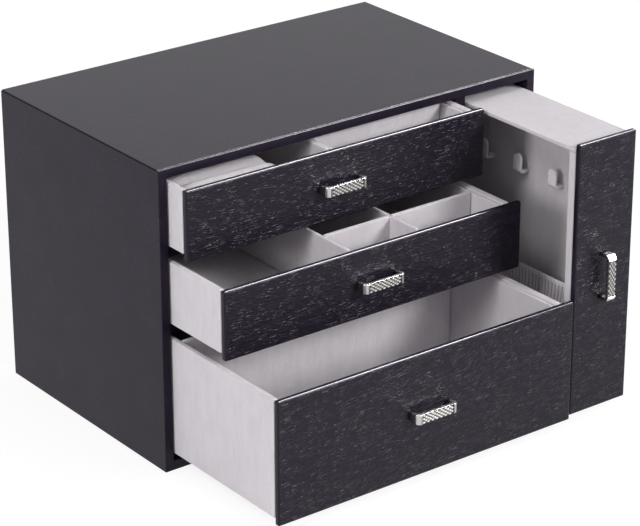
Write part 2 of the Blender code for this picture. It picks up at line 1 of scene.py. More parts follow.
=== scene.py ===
# %% [markdown]
# # A covered jewellery box with four drawers
#
# The real box is a case of thin fibreboard wrapped in black leatherette. Three drawers lie one
# over the other on the left, and a tall drawer with necklace hooks stands on the right. The packed
# model gives every board its place. This file dresses those boards: it wraps them in leatherette
# and suede, rounds their edges as glued covers do, and makes the soft and the metal parts.

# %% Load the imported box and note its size
import json
import math

import bmesh
import bpy
import numpy as np
from mathutils import Matrix, Vector


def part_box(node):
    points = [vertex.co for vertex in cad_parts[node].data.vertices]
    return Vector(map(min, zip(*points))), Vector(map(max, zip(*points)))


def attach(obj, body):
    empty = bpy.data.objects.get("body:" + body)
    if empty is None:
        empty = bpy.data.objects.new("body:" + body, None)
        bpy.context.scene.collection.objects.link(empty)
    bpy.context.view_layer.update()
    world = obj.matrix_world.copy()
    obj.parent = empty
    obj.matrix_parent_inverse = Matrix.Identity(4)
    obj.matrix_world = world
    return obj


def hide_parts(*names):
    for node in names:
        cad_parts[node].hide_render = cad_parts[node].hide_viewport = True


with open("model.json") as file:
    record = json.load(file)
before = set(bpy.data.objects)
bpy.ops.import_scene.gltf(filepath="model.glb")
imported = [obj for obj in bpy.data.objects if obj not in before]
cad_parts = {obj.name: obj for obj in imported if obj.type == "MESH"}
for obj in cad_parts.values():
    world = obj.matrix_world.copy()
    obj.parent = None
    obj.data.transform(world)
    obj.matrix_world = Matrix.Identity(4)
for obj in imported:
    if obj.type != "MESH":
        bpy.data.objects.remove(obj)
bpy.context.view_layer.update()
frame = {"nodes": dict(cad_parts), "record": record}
MM = 0.001
print("boards and fittings in the frame:", len(frame["nodes"]))

# %% [markdown]
# ## The camera
#
# A picture of a box gives its own camera away: the corners of a box of known size fix where the
# lens stood, how it was turned and how long it was. Those found values are written here, so that
# every edge of the model falls on the same edge in the picture.

# %% Set up the camera
CAMERA_AT = Vector((-980.1, -1340.7, 799.6)) * MM
CAMERA_HEADING = 0.65072
CAMERA_DROP = 0.41266
CAMERA_ROLL = -0.00142
LENS = 151.41


def aim_camera():
    ahead = Vector((math.sin(CAMERA_HEADING) * math.cos(CAMERA_DROP),
                    math.cos(CAMERA_HEADING) * math.cos(CAMERA_DROP), -math.sin(CAMERA_DROP)))
    level = Vector((math.cos(CAMERA_HEADING), -math.sin(CAMERA_HEADING), 0))
    upright = level.cross(ahead)
    side = math.cos(CAMERA_ROLL) * level + math.sin(CAMERA_ROLL) * upright
    up = math.cos(CAMERA_ROLL) * upright - math.sin(CAMERA_ROLL) * level
    camera = bpy.data.objects.new("camera", bpy.data.cameras.new("camera"))
    camera.data.lens = LENS
    camera.data.clip_end = 50
    turn = Matrix((side, up, -ahead)).transposed().to_4x4()
    camera.matrix_world = Matrix.Translation(CAMERA_AT) @ turn
    bpy.context.scene.collection.objects.link(camera)
    bpy.context.scene.camera = camera


aim_camera()
bpy.context.scene.view_settings.view_transform = "Standard"
print("camera stands", round(CAMERA_AT.length, 2), "m from the box")

# %% [markdown]
# ## Building finishes from nodes
#
# Every finish is a small tree of nodes around one Principled shader. Wired by hand, node by node,
# such trees are long to read, so a few helpers keep them short: one adds a node and wires it up
# in the same call, one starts a finish and hands back its shader and the coordinates of the
# piece, in metres, and the rest are small steps that several finishes share.

# %% Helpers for node trees
def add(tree, kind, inputs=None, **settings):
    """Add a node. A value in inputs is a constant, or the socket that feeds that input."""
    made = tree.nodes.new(kind)
    for key, value in settings.items():
        setattr(made, key, value)
    for key, value in (inputs or {}).items():
        if isinstance(value, bpy.types.NodeSocket):
            tree.links.new(value, made.inputs[key])
        else:
            made.inputs[key].default_value = value
    return made


def new_finish(name):
    """An empty finish: the material, its tree, its shader and the Object coordinates."""
    finish = bpy.data.materials.new(name)
    finish.use_nodes = True
    tree = finish.node_tree
    place = add(tree, "ShaderNodeTexCoord").outputs["Object"]
    return finish, tree, tree.nodes["Principled BSDF"], place


def stretched(tree, place, cell, shift=(0, 0, 0)):
    """Coordinates that count in cells of the given size, so that one unit is one cell."""
    scale = [1 / side for side in cell]
    return add(tree, "ShaderNodeMapping", {"Vector": place, "Scale": scale, "Location": shift},
               vector_type="POINT").outputs["Vector"]


def noise(tree, place, detail=2.0, roughness=0.5, bend=0.0):
    return add(tree, "ShaderNodeTexNoise", {"Vector": place, "Scale": 1.0, "Detail": detail,
                                            "Roughness": roughness, "Distortion": bend}
               ).outputs["Fac"]


def sum_of(tree, first, second, operation="ADD"):
    return add(tree, "ShaderNodeMath", {0: first, 1: second}, operation=operation).outputs[0]


def levels(tree, value, old, new, smooth=False):
    """Stretch a value from one range to another."""
    kind = "SMOOTHSTEP" if smooth else "LINEAR"
    return add(tree, "ShaderNodeMapRange", {"Value": value, "From Min": old[0], "From Max": old[1],
                                            "To Min": new[0], "To Max": new[1]},
               interpolation_type=kind).outputs["Result"]


def colours(tree, value, dark, light):
    return add(tree, "ShaderNodeMix", {"Factor": value, "A": (*dark, 1), "B": (*light, 1)},
               data_type="RGBA").outputs["Result"]


def marked(tree, name):
    """A mark from 0 to 1 that the mesh carries on its points. No mark means 0."""
    return add(tree, "ShaderNodeAttribute", attribute_name=name).outputs["Fac"]


# Darken a colour where the mesh is marked. Both uses paint shade: between the pocket's pleats and
# in the cuts of the pulls.
def dim_where_marked(tree, colour, name, deep):
    return add(tree, "ShaderNodeMix", {"Factor": marked(tree, name), "A": colour,
                                       "B": (*deep, 1)}, data_type="RGBA").outputs["Result"]


def wear(tree, shader, colour, roughness, height, depth):
    """Wire the finished pattern into the shader. Roughness is None where it has no pattern."""
    tree.links.new(colour, shader.inputs["Base Color"])
    if roughness:
        tree.links.new(roughness, shader.inputs["Roughness"])
    bump = add(tree, "ShaderNodeBump", {"Height": height, "Distance": depth, "Strength": 1.0})
    tree.links.new(bump.outputs["Normal"], shader.inputs["Normal"])


# %% [markdown]
# ## Floor and studio light
#
# The box stands on a seamless pale floor. The camera, mirrors and glass see a white studio: part
# of the floor's white is its own glow, so it reads as plain white and still takes a soft shadow.
# For all other light the floor is a dull pale surface. Two soft lamps stand on the left, one low
# and one high: the hooks in the tall drawer throw their shadows straight back on the panel behind
# them. Two more in front reach into the drawers. Their strengths were fitted: the box was
# rendered under each lamp alone, and the mix that gives every pale surface its shade was solved
# for. A few were then set one by one. Two long lamps only show in mirror images and light no dull
# surface. The one overhead draws the thin bright line along every glossy edge, and the one in
# front lights the grain's rims.

# %% Make the floor, the surroundings and the lamps
FLOOR_WIDTH = 12.0
FLOOR_COLOUR = 0.82
FLOOR_SEEN_COLOUR = 0.30
FLOOR_GLOW = 0.80
ROOM_LIGHT = 0.37
ROOM_TINT = (1.0, 0.96, 1.02)
LAMPS_AIM = Vector((0, -0.02, 0.1))


def rays_that_see_white(tree):
    """The camera, mirrors and glass see the white studio. All other light meets dull surfaces."""
    rays = add(tree, "ShaderNodeLightPath").outputs
    seen = sum_of(tree, rays["Is Camera Ray"], rays["Is Transmission Ray"])
    return sum_of(tree, seen, rays["Is Glossy Ray"])


def make_floor():
    mesh = bpy.data.meshes.new("floor")
    half = FLOOR_WIDTH / 2
    mesh.from_pydata([(-half, -half, 0), (half, -half, 0), (half, half, 0), (-half, half, 0)], [],
                     [(0, 1, 2, 3)])
    floor = bpy.data.objects.new("floor", mesh)
    bpy.context.scene.collection.objects.link(floor)
    finish = bpy.data.materials.new("floor")
    finish.use_nodes = True
    tree = finish.node_tree
    tree.nodes.remove(tree.nodes["Principled BSDF"])
    dull = add(tree, "ShaderNodeBsdfDiffuse", {"Color": (*[FLOOR_COLOUR] * 3, 1)})
    part = add(tree, "ShaderNodeBsdfDiffuse", {"Color": (*[FLOOR_SEEN_COLOUR] * 3, 1)})
    glow = add(tree, "ShaderNodeEmission", {"Color": (1, 1, 1, 1), "Strength": FLOOR_GLOW})
    pale = add(tree, "ShaderNodeAddShader", {0: part.outputs[0], 1: glow.outputs[0]})
    both = add(tree, "ShaderNodeMixShader", {0: rays_that_see_white(tree), 1: dull.outputs[0],
                                             2: pale.outputs[0]})
    tree.links.new(both.outputs[0], tree.nodes["Material Output"].inputs["Surface"])
    mesh.materials.append(finish)


def light_the_room():
    world = bpy.data.worlds.new("studio")
    world.use_nodes = True
    tree = world.node_tree
    dim = tree.nodes["Background"]
    dim.inputs["Color"].default_value = (*ROOM_TINT, 1)
    dim.inputs["Strength"].default_value = ROOM_LIGHT
    white = add(tree, "ShaderNodeBackground", {"Color": (1, 1, 1, 1), "Strength": 1.0})
    both = add(tree, "ShaderNodeMixShader", {0: rays_that_see_white(tree), 1: dim.outputs[0],
                                             2: white.outputs[0]})
    tree.links.new(both.outputs[0], tree.nodes["World Output"].inputs["Surface"])
    bpy.context.scene.world = world


def lamp(name, place, size, power, only_in_mirrors=False):
    made = bpy.data.objects.new(name, bpy.data.lights.new(name, "AREA"))
    made.data.shape = "RECTANGLE"
    made.data.size, made.data.size_y = size
    made.data.energy = power
    made.location = place
    made.rotation_mode = "QUATERNION"
    made.rotation_quaternion = (Vector(place) - LAMPS_AIM).to_track_quat("Z", "Y")
    made.visible_diffuse = not only_in_mirrors
    bpy.context.scene.collection.objects.link(made)


make_floor()
light_the_room()
lamp("low_left_lamp", (-2.2, -0.5, 1.0), (0.6, 0.6), 19)
lamp("high_left_lamp", (-1.5, -0.6, 1.9), (0.6, 0.6), 11)
lamp("front_right_lamp", (1.1, -2.0, 1.2), (0.6, 0.6), 39)
lamp("front_lamp", (0.3, -2.1, 1.45), (1.2, 0.8), 6)
lamp("edge_lamp", (1.25, 0.0, 1.9), (1.2, 0.6), 260, only_in_mirrors=True)
lamp("grain_lamp", (0.8, -2.1, 1.3), (2.6, 0.4), 50, only_in_mirrors=True)

# %% [markdown]
# ## The two leatherettes
#
# Leatherette is vinyl with a pressed grain. The case wears a quiet one: small soft pebbles, a
# few broad clouds where the sheet was rubbed, and a satin shine. The drawer fronts wear a
# glossier one, embossed with flat cushions, wider than tall, whose upper rims catch the lamps as
# short curly strokes. A picture of real grain could be wrapped round the boards instead, but it
# would stretch over their edges. So both are patterns in metres, as coarse on a small piece as on
# a large one. Where the sheet is pulled over a rolled edge its grain goes flat: the mesh carries
# a mark there, called rolled, which the finish reads.

# %% Mix the leatherettes
PEBBLE = 1.1 * MM
PEBBLE_DEPTH = 0.03 * MM
CLOUD = 26 * MM
CASE_SHINE = 0.13
SHINE_TINT = (0.95, 0.91, 1.0)
GRAIN_CELL = (5.8 * MM, 5.8 * MM, 1.7 * MM)
GRAIN_PUSH = 0.55
GRAIN_RIM = 0.22
GRAIN_DEPTH = 0.17 * MM
RUBBED_PATCH = (9 * MM, 9 * MM, 3.2 * MM)
GRIT = (1.3 * MM, 1.3 * MM, 0.5 * MM)
FRONT_SHINE = 0.155


def where_not_rolled(tree, height):
    return sum_of(tree, height, sum_of(tree, 1.0, marked(tree, "rolled"), "SUBTRACT"),
                  "MULTIPLY")


def shine(shader, strength):
    """Numbers that are the same all over sit on the shader itself."""
    shader.inputs["Specular IOR Level"].default_value = strength
    shader.inputs["Specular Tint"].default_value = (*SHINE_TINT, 1)


def mix_case_leatherette():
    finish, tree, shader, place = new_finish("case_leatherette")
    clouds = noise(tree, stretched(tree, place, (CLOUD,) * 3), 4.0, 0.6)
    specks = noise(tree, stretched(tree, place, (2 * PEBBLE,) * 3), 3.0, 0.6)
    pebbles = add(tree, "ShaderNodeTexVoronoi",
                  {"Vector": stretched(tree, place, (PEBBLE,) * 3), "Scale": 1.0,
                   "Smoothness": 0.7}, feature="SMOOTH_F1").outputs["Distance"]
    shade = sum_of(tree, levels(tree, clouds, (0.3, 0.7), (0, 0.7)),
                   levels(tree, specks, (0.3, 0.7), (0, 0.3)))
    height = where_not_rolled(tree, sum_of(tree, pebbles, levels(tree, specks, (0.2, 0.8),
                                                                 (0, 0.8)), "SUBTRACT"))
    wear(tree, shader, colours(tree, shade, (0.0085, 0.0058, 0.0125), (0.0165, 0.0118, 0.0228)),
         levels(tree, shade, (0, 1), (0.24, 0.29)), height, PEBBLE_DEPTH)
    shine(shader, CASE_SHINE)
    return finish


def mix_front_leatherette():
    """Flat cushions, wider than tall and pushed about by noise. Their upper rims catch light."""
    finish, tree, shader, place = new_finish("front_leatherette")
    aside = noise(tree, stretched(tree, place, (4 * MM,) * 3), 2.0)
    upward = noise(tree, stretched(tree, place, (3.2 * MM,) * 3, (3, 1, 8)), 2.0)
    reach = (-GRAIN_PUSH, GRAIN_PUSH)
    push = add(tree, "ShaderNodeCombineXYZ", {"X": levels(tree, aside, (0, 1), reach),
                                              "Z": levels(tree, upward, (0, 1), reach)})
    cells = add(tree, "ShaderNodeVectorMath", {0: stretched(tree, place, GRAIN_CELL),
                                               1: push.outputs["Vector"]}).outputs["Vector"]
    to_seam = add(tree, "ShaderNodeTexVoronoi", {"Vector": cells, "Scale": 1.0},
                  feature="DISTANCE_TO_EDGE").outputs["Distance"]
    cushions = levels(tree, to_seam, (0, GRAIN_RIM), (0, 1), smooth=True)
    rubbed = noise(tree, stretched(tree, place, RUBBED_PATCH, (5, 3, 1)), 1.0)
    relief = sum_of(tree, cushions, levels(tree, rubbed, (0.32, 0.60), (0.4, 1), smooth=True),
                    "MULTIPLY")
    relief = where_not_rolled(tree, relief)
    grit = noise(tree, stretched(tree, place, GRIT), 3.0, 0.6)
    grit = where_not_rolled(tree, levels(tree, grit, (0.3, 0.7), (0, 0.09)))
    height = sum_of(tree, relief, grit)
    wear(tree, shader, colours(tree, relief, (0.012, 0.009, 0.0155), (0.0155, 0.012, 0.019)),
         levels(tree, relief, (0, 1), (0.20, 0.18)), height, GRAIN_DEPTH)
    shine(shader, FRONT_SHINE)
    return finish


# %% [markdown]
# ## Suede, velvet and the hard finishes
#
# The drawers are lined and covered with a pale grey-lilac suede. Its nap lies in streaks where a
# hand has brushed it, lighter or darker, and its fibres scatter light at grazing angles, which is
# what the sheen does. The pads use the same idea with a rounder nap, and the velvet pocket with a
# lighter one. Between the pocket's pleats, where its mesh is marked, the colour is darkened: that
# is painted shade, for the shadow that falls into the folds.

# %% Mix the suedes and the velvet
# Painted shade: the near black that the velvet is darkened to between the pocket's pleats.
PLEAT_SHADE_COLOUR = (0.03, 0.026, 0.03)
STREAK = (7 * MM, 7 * MM, 20 * MM)
FIBRE = 0.45 * MM
BRUSHED_AREA = 34 * MM
NAP_ROUGHNESS = 0.92
NAP_SHINE = 0.12
SHEEN_ROUGHNESS = 0.45


def mix_suede(name, dark, light, streak, fibre, sheen):
    finish, tree, shader, place = new_finish(name)
    brushed = noise(tree, stretched(tree, place, streak), 4.0, 0.62, 0.6)
    broad = noise(tree, stretched(tree, place, (BRUSHED_AREA,) * 3, (2, 7, 4)), 2.0)
    fibres = noise(tree, stretched(tree, place, (fibre,) * 3), 3.0, 0.7)
    shade = sum_of(tree, levels(tree, brushed, (0.32, 0.68), (0, 0.55)),
                   sum_of(tree, levels(tree, broad, (0.3, 0.7), (0, 0.25)),
                          levels(tree, fibres, (0.3, 0.7), (0, 0.2))))
    height = sum_of(tree, fibres, levels(tree, brushed, (0.3, 0.7), (0, 0.5)))
    # Painted shade: the colour goes towards near black where the mesh is marked between pleats.
    colour = dim_where_marked(tree, colours(tree, shade, dark, light), "valley", PLEAT_SHADE_COLOUR)
    wear(tree, shader, colour, None, height, 0.6 * fibre)
    shader.inputs["Roughness"].default_value = NAP_ROUGHNESS
    shader.inputs["Specular IOR Level"].default_value = NAP_SHINE
    shader.inputs["Sheen Weight"].default_value = sheen
    shader.inputs["Sheen Roughness"].default_value = SHEEN_ROUGHNESS
    return finish


# %% [markdown]
# The nickel of the pulls is smeared by fingers and finely scratched. In the cuts of the hatching,
# where its mesh is marked, its colour is darkened: that is painted shade, for the shadow in the
# cuts. The screws are plain steel. The hooks are of a slightly cloudy plastic, smooth enough to
# shine. One recipe serves both metals.

# %% Mix the metal and the plastic
# Painted shade: the near black that the nickel is darkened to in the cuts of the hatching.
CUT_SHADE_COLOUR = (0.05, 0.045, 0.045)
SMEAR = 3 * MM
SCRATCH = (2.5 * MM, 0.3 * MM, 0.12 * MM)


def mix_metal(name, dark, light, rough, scratch_depth):
    finish, tree, shader, place = new_finish(name)
    smears = noise(tree, stretched(tree, place, (SMEAR,) * 3), 3.0, 0.6)
    scratches = noise(tree, stretched(tree, place, SCRATCH), 2.0, 0.6)
    # Painted shade: darkened towards near black where the mesh is marked in the cuts.
    colour = dim_where_marked(tree, colours(tree, smears, dark, light), "cut_shade", CUT_SHADE_COLOUR)
    wear(tree, shader, colour, levels(tree, sum_of(tree, smears, scratches), (0.6, 1.4), rough),
         scratches, scratch_depth)
    shader.inputs["Metallic"].default_value = 1.0
    return finish


def mix_plastic():
    finish, tree, shader, place = new_finish("hook_plastic")
    cloud = noise(tree, stretched(tree, place, (4 * MM,) * 3), 3.0)
    skin = noise(tree, stretched(tree, place, (0.3 * MM,) * 3), 2.0)
    wear(tree, shader, colours(tree, cloud, (0.78, 0.75, 0.77), (0.87, 0.84, 0.86)),
         levels(tree, skin, (0.3, 0.7), (0.38, 0.5)), skin, 0.01 * MM)
    return finish


FINISHES = {
    "case_leatherette": mix_case_leatherette(),
    "front_leatherette": mix_front_leatherette(),
    "drawer_suede": mix_suede("drawer_suede", (0.585, 0.555, 0.58), (0.68, 0.65, 0.675), STREAK,
                              FIBRE, 0.25),
    "pad_suede": mix_suede("pad_suede", (0.55, 0.52, 0.54), (0.68, 0.645, 0.665),
                           (5 * MM,) * 3, FIBRE, 0.3),
    "pocket_velvet": mix_suede("pocket_velvet", (0.80, 0.76, 0.79), (0.93, 0.90, 0.92),
                               (4 * MM, 4 * MM, 12 * MM), FIBRE, 0.4),
    "handle_nickel": mix_metal("handle_nickel", (0.45, 0.43, 0.42), (0.58, 0.56, 0.55),
                               (0.18, 0.30), 0.004 * MM),
    "screw_steel": mix_metal("screw_steel", (0.50, 0.50, 0.50), (0.62, 0.62, 0.62),
                             (0.28, 0.42), 0.006 * MM),
    "hook_plastic": mix_plastic(),
}
print("finishes:", ", ".join(FINISHES))

# %% [markdown]
# ## Dressing a board
#
# A covered board is a block whose edges are rounded by the thickness of its cover. The helpers
# here carve blocks, round each edge by its own width with a Bevel modifier that keeps the flat
# faces flat, and then turn the result into a plain mesh. A dressed piece rides on its drawer and
# stands for the CAD boards that it covers.

# %% Helpers for covered boards
HAIR = 0.01 * MM


def body_of_node(node):
    return next(name for name, members in frame["record"]["behaviour"]["bodies"].items()
                if node in members)


def slot_of_node(node):
    return next(part["material_slot"] for part in frame["record"]["subparts"]
                if part["node"] == node)


def piece_from(shape, name, smooth=False):
    """Turn a finished bmesh into a piece of the scene."""
    mesh = bpy.data.meshes.new(name)
    shape.to_mesh(mesh)
    shape.free()
    if smooth:
        mesh.shade_smooth()
    made = bpy.data.objects.new(name, mesh)
    bpy.context.scene.collection.objects.link(made)
    return made


def settle(piece):
    """Turn what the modifiers show into the piece's own mesh."""
    shown = piece.evaluated_get(bpy.context.evaluated_depsgraph_get())
    mesh = bpy.data.meshes.new_from_object(shown)
    piece.modifiers.clear()
    piece.data = mesh
    mesh.name = piece.name
    return piece


def dress(piece, *nodes, slot=None, body=None):
    """Give a finished piece its finish, and let it stand for CAD nodes and ride on their body."""
    slot = slot or slot_of_node(nodes[0])
    piece.data.materials.clear()
    piece.data.materials.append(FINISHES[slot])
    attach(piece, body or body_of_node(nodes[0]))
    if nodes:
        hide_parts(*nodes)
    return piece


def block(name, low, high):
    low, high = Vector(low), Vector(high)
    shape = bmesh.new()
    bmesh.ops.create_cube(shape, size=1, matrix=Matrix.Translation((low + high) / 2)
                          @ Matrix.Diagonal((*(high - low), 1)))
    return piece_from(shape, name)


def carve(piece, *hollows):
    """Cut blocks, each given by two corners, out of a piece."""
    cutters = [block("hollow", low, high) for low, high in hollows]
    for cutter in cutters:
        step = piece.modifiers.new("hollow", "BOOLEAN")
        step.solver = "EXACT"
        step.object = cutter
    settle(piece)
    for cutter in cutters:
        bpy.data.objects.remove(cutter)
    return piece


def ease(piece, width_of, steps=4):
    """Round the sharp edges. width_of takes an edge's two ends and gives its rounding, or 0."""
    shape = bmesh.new()
    shape.from_mesh(piece.data)
    bmesh.ops.dissolve_limit(shape, angle_limit=math.radians(1), verts=shape.verts,
                             edges=shape.edges)
    weight = shape.edges.layers.float.new("bevel_weight_edge")
    widths = {edge: width_of(*[vert.co for vert in edge.verts]) for edge in shape.edges}
    widest = max(widths.values())
    for edge, width in widths.items():
        edge[weight] = width / widest
        edge.smooth = width > 0
    shape.to_mesh(piece.data)
    shape.free()
    piece.data.shade_smooth()
    rounding = piece.modifiers.new("rounding", "BEVEL")
    rounding.limit_method = "WEIGHT"
    rounding.width = widest
    rounding.segments = steps
    rounding.harden_normals = True
    return settle(piece)


def mark(piece, name, amount_of):
    """Store one number from 0 to 1 on each point of a piece, for its finish to read."""
    marks = piece.data.attributes.new(name, "FLOAT", "POINT")
    marks.data.foreach_set("value", [amount_of(vert.co) for vert in piece.data.vertices])


def covered_board(name, node, rounding, steps=4):
    """A rounded board in the place of a CAD board."""
    low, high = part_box(node)
    return dress(ease(block(name, low, high), lambda a, b: rounding, steps), node)


def covered_front(drawer):
    """A drawer's front. Its rolled edges are marked, so that only the flat face shows grain."""
    front = covered_board(drawer + "_front_cover", drawer + "_front", FRONT_EDGE, 5)
    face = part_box(drawer + "_front")[0].y
    mark(front, "rolled", lambda at: at.y > face + HAIR)


# %% [markdown]
# ## The case
#
# The leatherette of the case goes round the front edge in a small roll and stops behind it,
# where the top sheet begins. That leaves a hair-thin groove behind the front roll and a small
# step along both sides and the back. The shell could be six boards, but their joints would show,
# so it is one carved block. The top sheet is laid on it, and the sheets on the back and the
# underside lie in shallow hollows.

# %% Wrap the case
SHEET = 0.9 * MM
SHEET_GAP = 0.1 * MM
SHEET_STEP = 0.4 * MM
FRONT_ROLL = 1.7 * MM
ROLL_ROUND = 1.5 * MM
SIDE_ROUND = 0.7 * MM
INNER_ROUND = 0.8 * MM
REBATE_TOP = 6.6 * MM
REBATE_DEEP = 4.5 * MM
BACK_MARGIN = 7 * MM
UNDER_MARGIN = 5 * MM
LINING_SHEET = 0.5 * MM
TOP_SHEET_ROUND = 0.4 * MM
THIN_SHEET_ROUND = 0.15 * MM
MARKED_ROLL = 0.8 * ROLL_ROUND
OVERRUN = 5 * MM
CLOSE_ENOUGH = 0.05 * MM


def near(value, goal):
    return abs(value - goal) < CLOSE_ENOUGH


def wrap_case():
    low, high = cad_case_low, cad_case_high
    inner_left, inner_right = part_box("case_left_side")[1].x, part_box("case_right_side")[0].x
    inner_back, inner_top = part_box("case_back")[0].y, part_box("case_top")[0].z
    base_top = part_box("case_bottom")[1].z
    back_low = Vector((low.x + BACK_MARGIN, high.y - LINING_SHEET, BACK_MARGIN))
    back_high = Vector((high.x - BACK_MARGIN, high.y, high.z - BACK_MARGIN))
    under_low = Vector((low.x + UNDER_MARGIN, low.y + UNDER_MARGIN, 0))
    under_high = Vector((high.x - UNDER_MARGIN, high.y - UNDER_MARGIN, LINING_SHEET))
    shell = block("case_shell", low, high)
    carve(shell,
          ((inner_left, low.y - OVERRUN, base_top), (inner_right, inner_back, inner_top)),
          ((inner_left, low.y - OVERRUN, REBATE_TOP),
           (inner_right, low.y + REBATE_DEEP, base_top + OVERRUN)),
          ((low.x - OVERRUN, low.y + FRONT_ROLL, high.z - SHEET),
           (high.x + OVERRUN, high.y + OVERRUN, high.z + OVERRUN)),
          (back_low - Vector((SHEET_GAP, 0, SHEET_GAP)),
           back_high + Vector((SHEET_GAP, OVERRUN, SHEET_GAP))),
          (under_low - Vector((SHEET_GAP, SHEET_GAP, OVERRUN)),
           under_high + Vector((SHEET_GAP, SHEET_GAP, 0))))

    def width_of(a, b):
        outside = [near(abs(a.x), high.x) and near(abs(b.x), high.x),
                   near(a.z, 0) and near(b.z, 0), near(a.z, high.z) and near(b.z, high.z),
                   near(a.y, high.y) and near(b.y, high.y)]
        at_front = near(a.y, low.y) and near(b.y, low.y)
        if at_front and (outside[0] or outside[2]):
            return ROLL_ROUND
        if near(a.y, low.y + FRONT_ROLL) and near(b.y, low.y + FRONT_ROLL):
            return 0.0
        if any(outside):
            return SIDE_ROUND
        return INNER_ROUND

    ease(shell, width_of)
    mark(shell, "rolled", lambda at: at.y < low.y + ROLL_ROUND + HAIR
         and at.z > high.z - MARKED_ROLL)
    dress(shell, "case_top", "case_bottom", "case_left_side", "case_right_side", "case_back")
    top = block("case_top_sheet",
                (low.x + SHEET_STEP, low.y + FRONT_ROLL + SHEET_GAP, high.z - SHEET),
                (high.x - SHEET_STEP, high.y - SHEET_STEP, high.z))
    ease(top, lambda a, b: TOP_SHEET_ROUND, 3)
    mark(top, "rolled", lambda at: at.z < high.z - HAIR)
    dress(top, slot="case_leatherette", body="case")
    for name, corners in (("case_back_sheet", (back_low, back_high)),
                          ("case_under_sheet", (under_low, under_high))):
        sheet = ease(block(name, *corners), lambda a, b: THIN_SHEET_ROUND, 2)
        dress(sheet, slot="case_leatherette", body="case")


cad_case_low = Vector(map(min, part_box("case_top")[0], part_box("case_left_side")[0]))
cad_case_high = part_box("case_top")[1]
wrap_case()
for board in ("upper_shelf", "lower_shelf", "partition"):
    covered_board(board + "_cover", board, INNER_ROUND)
print("case in mm:", [round(side / MM, 1) for side in cad_case_high - cad_case_low])

# %% [markdown]
# ## The drawer boxes
#
# Each stacked drawer is a suede-covered tray behind an embossed front. The side and back walls
# are one strip of board, bent round the two back corners, so they are made as one piece. The
# bottom is a separate card, and so are the thin boards that line the right wall.

# %% Build the stacked drawers
WALL_ROUND = 1.0 * MM
CORNER_ROUND = 1.6 * MM
CARD_ROUND = 0.6 * MM
THIN_CARD_ROUND = 0.3 * MM
FRONT_EDGE = 1.1 * MM
STACKED = ("top_drawer", "middle_drawer", "bottom_drawer")


def build_walls(drawer):
    names = [f"{drawer}_{side}_wall" for side in ("left", "right", "back")]
    left, right, back = [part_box(name) for name in names]
    low = Vector((left[0].x, left[0].y, left[0].z))
    high = Vector((right[1].x, back[1].y, left[1].z))
    walls = block(drawer + "_walls", low, high)
    carve(walls, ((left[1].x, low.y - OVERRUN, low.z - OVERRUN),
                  (right[0].x, back[0].y, high.z + OVERRUN)))

    def width_of(a, b):
        if near(a.z, high.z) and near(b.z, high.z):
            return WALL_ROUND
        if near(a.y, high.y) and near(b.y, high.y) and near(a.x, b.x):
            return CORNER_ROUND
        return CARD_ROUND

    return dress(ease(walls, width_of), *names)


def build_stacked_drawer(drawer):
    build_walls(drawer)
    covered_front(drawer)
    covered_board(drawer + "_floor_card", drawer + "_bottom", CARD_ROUND)
    covered_board(drawer + "_front_card", drawer + "_front_lining", THIN_CARD_ROUND, 2)
    covered_board(drawer + "_right_lining_board", drawer + "_right_lining", CARD_ROUND)


def open_by(drawer):
    """How far the face of a drawer's front stands before the case. Shut, it is flush."""
    return round((cad_case_low.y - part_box(drawer + "_front")[0].y) / MM, 1)


for drawer in STACKED:
    build_stacked_drawer(drawer)
    print(drawer, "stands open by", open_by(drawer), "mm")
for board in ("top_drawer_divider", "top_drawer_cross_divider", "middle_drawer_left_divider",
              "middle_drawer_middle_divider", "middle_drawer_cross_divider",
              "bottom_drawer_cross_divider"):
    covered_board(board + "_cover", board, WALL_ROUND)
covered_board("top_drawer_divider_lining_board", "top_drawer_divider_lining", CARD_ROUND)

# %% [markdown]
# ## The tall drawer
#
# The tall drawer is open on its left side, so that necklaces can be reached while it stands
# pulled out. Its boards meet at plain joints, so each one is covered by itself.

# %% Build the tall drawer
covered_front("tall_drawer")
for board, rounding in (("top_panel", CARD_ROUND), ("side_panel", WALL_ROUND),
                        ("back_wall", WALL_ROUND), ("bottom", CARD_ROUND)):
    covered_board(f"tall_drawer_{board}_cover", "tall_drawer_" + board, rounding)
print("tall_drawer stands open by", open_by("tall_drawer"), "mm")

# %% [markdown]
# ## Strips bent from flat stock
#
# A pull is a flat bar with both ends bent back to the drawer, and a necklace hook is a flat strip
# bent up from its foot. Both are the same shape in the maker's terms: a rounded rectangle that
# follows a flat route and changes its width on the way. One helper sweeps it, ring after ring.

# %% Helper that sweeps a flat strip
CORNER_STEPS = 4
FULLEST_CORNER = 0.98
FLAT_FACES_COUNT = 80


def section(half_thick, half_wide, corner):
    """The outline of a rounded rectangle, as offsets across the strip and along its width."""
    corner = min(corner, half_thick * FULLEST_CORNER, half_wide * FULLEST_CORNER)
    points = []
    for quarter, (side, edge) in enumerate(((1, 1), (-1, 1), (-1, -1), (1, -1))):
        for step in range(CORNER_STEPS + 1):
            angle = math.pi / 2 * (quarter + step / CORNER_STEPS)
            points.append((side * (half_thick - corner) + corner * math.cos(angle),
                           edge * (half_wide - corner) + corner * math.sin(angle)))
    return points


def arc(centre, radius, start, end, steps):
    """Points of a round stretch, from one angle in degrees to another."""
    turns = [math.radians(start + (end - start) * i / steps) for i in range(steps + 1)]
    return [Vector((centre[0] + radius * math.cos(turn), centre[1] + radius * math.sin(turn)))
            for turn in turns]


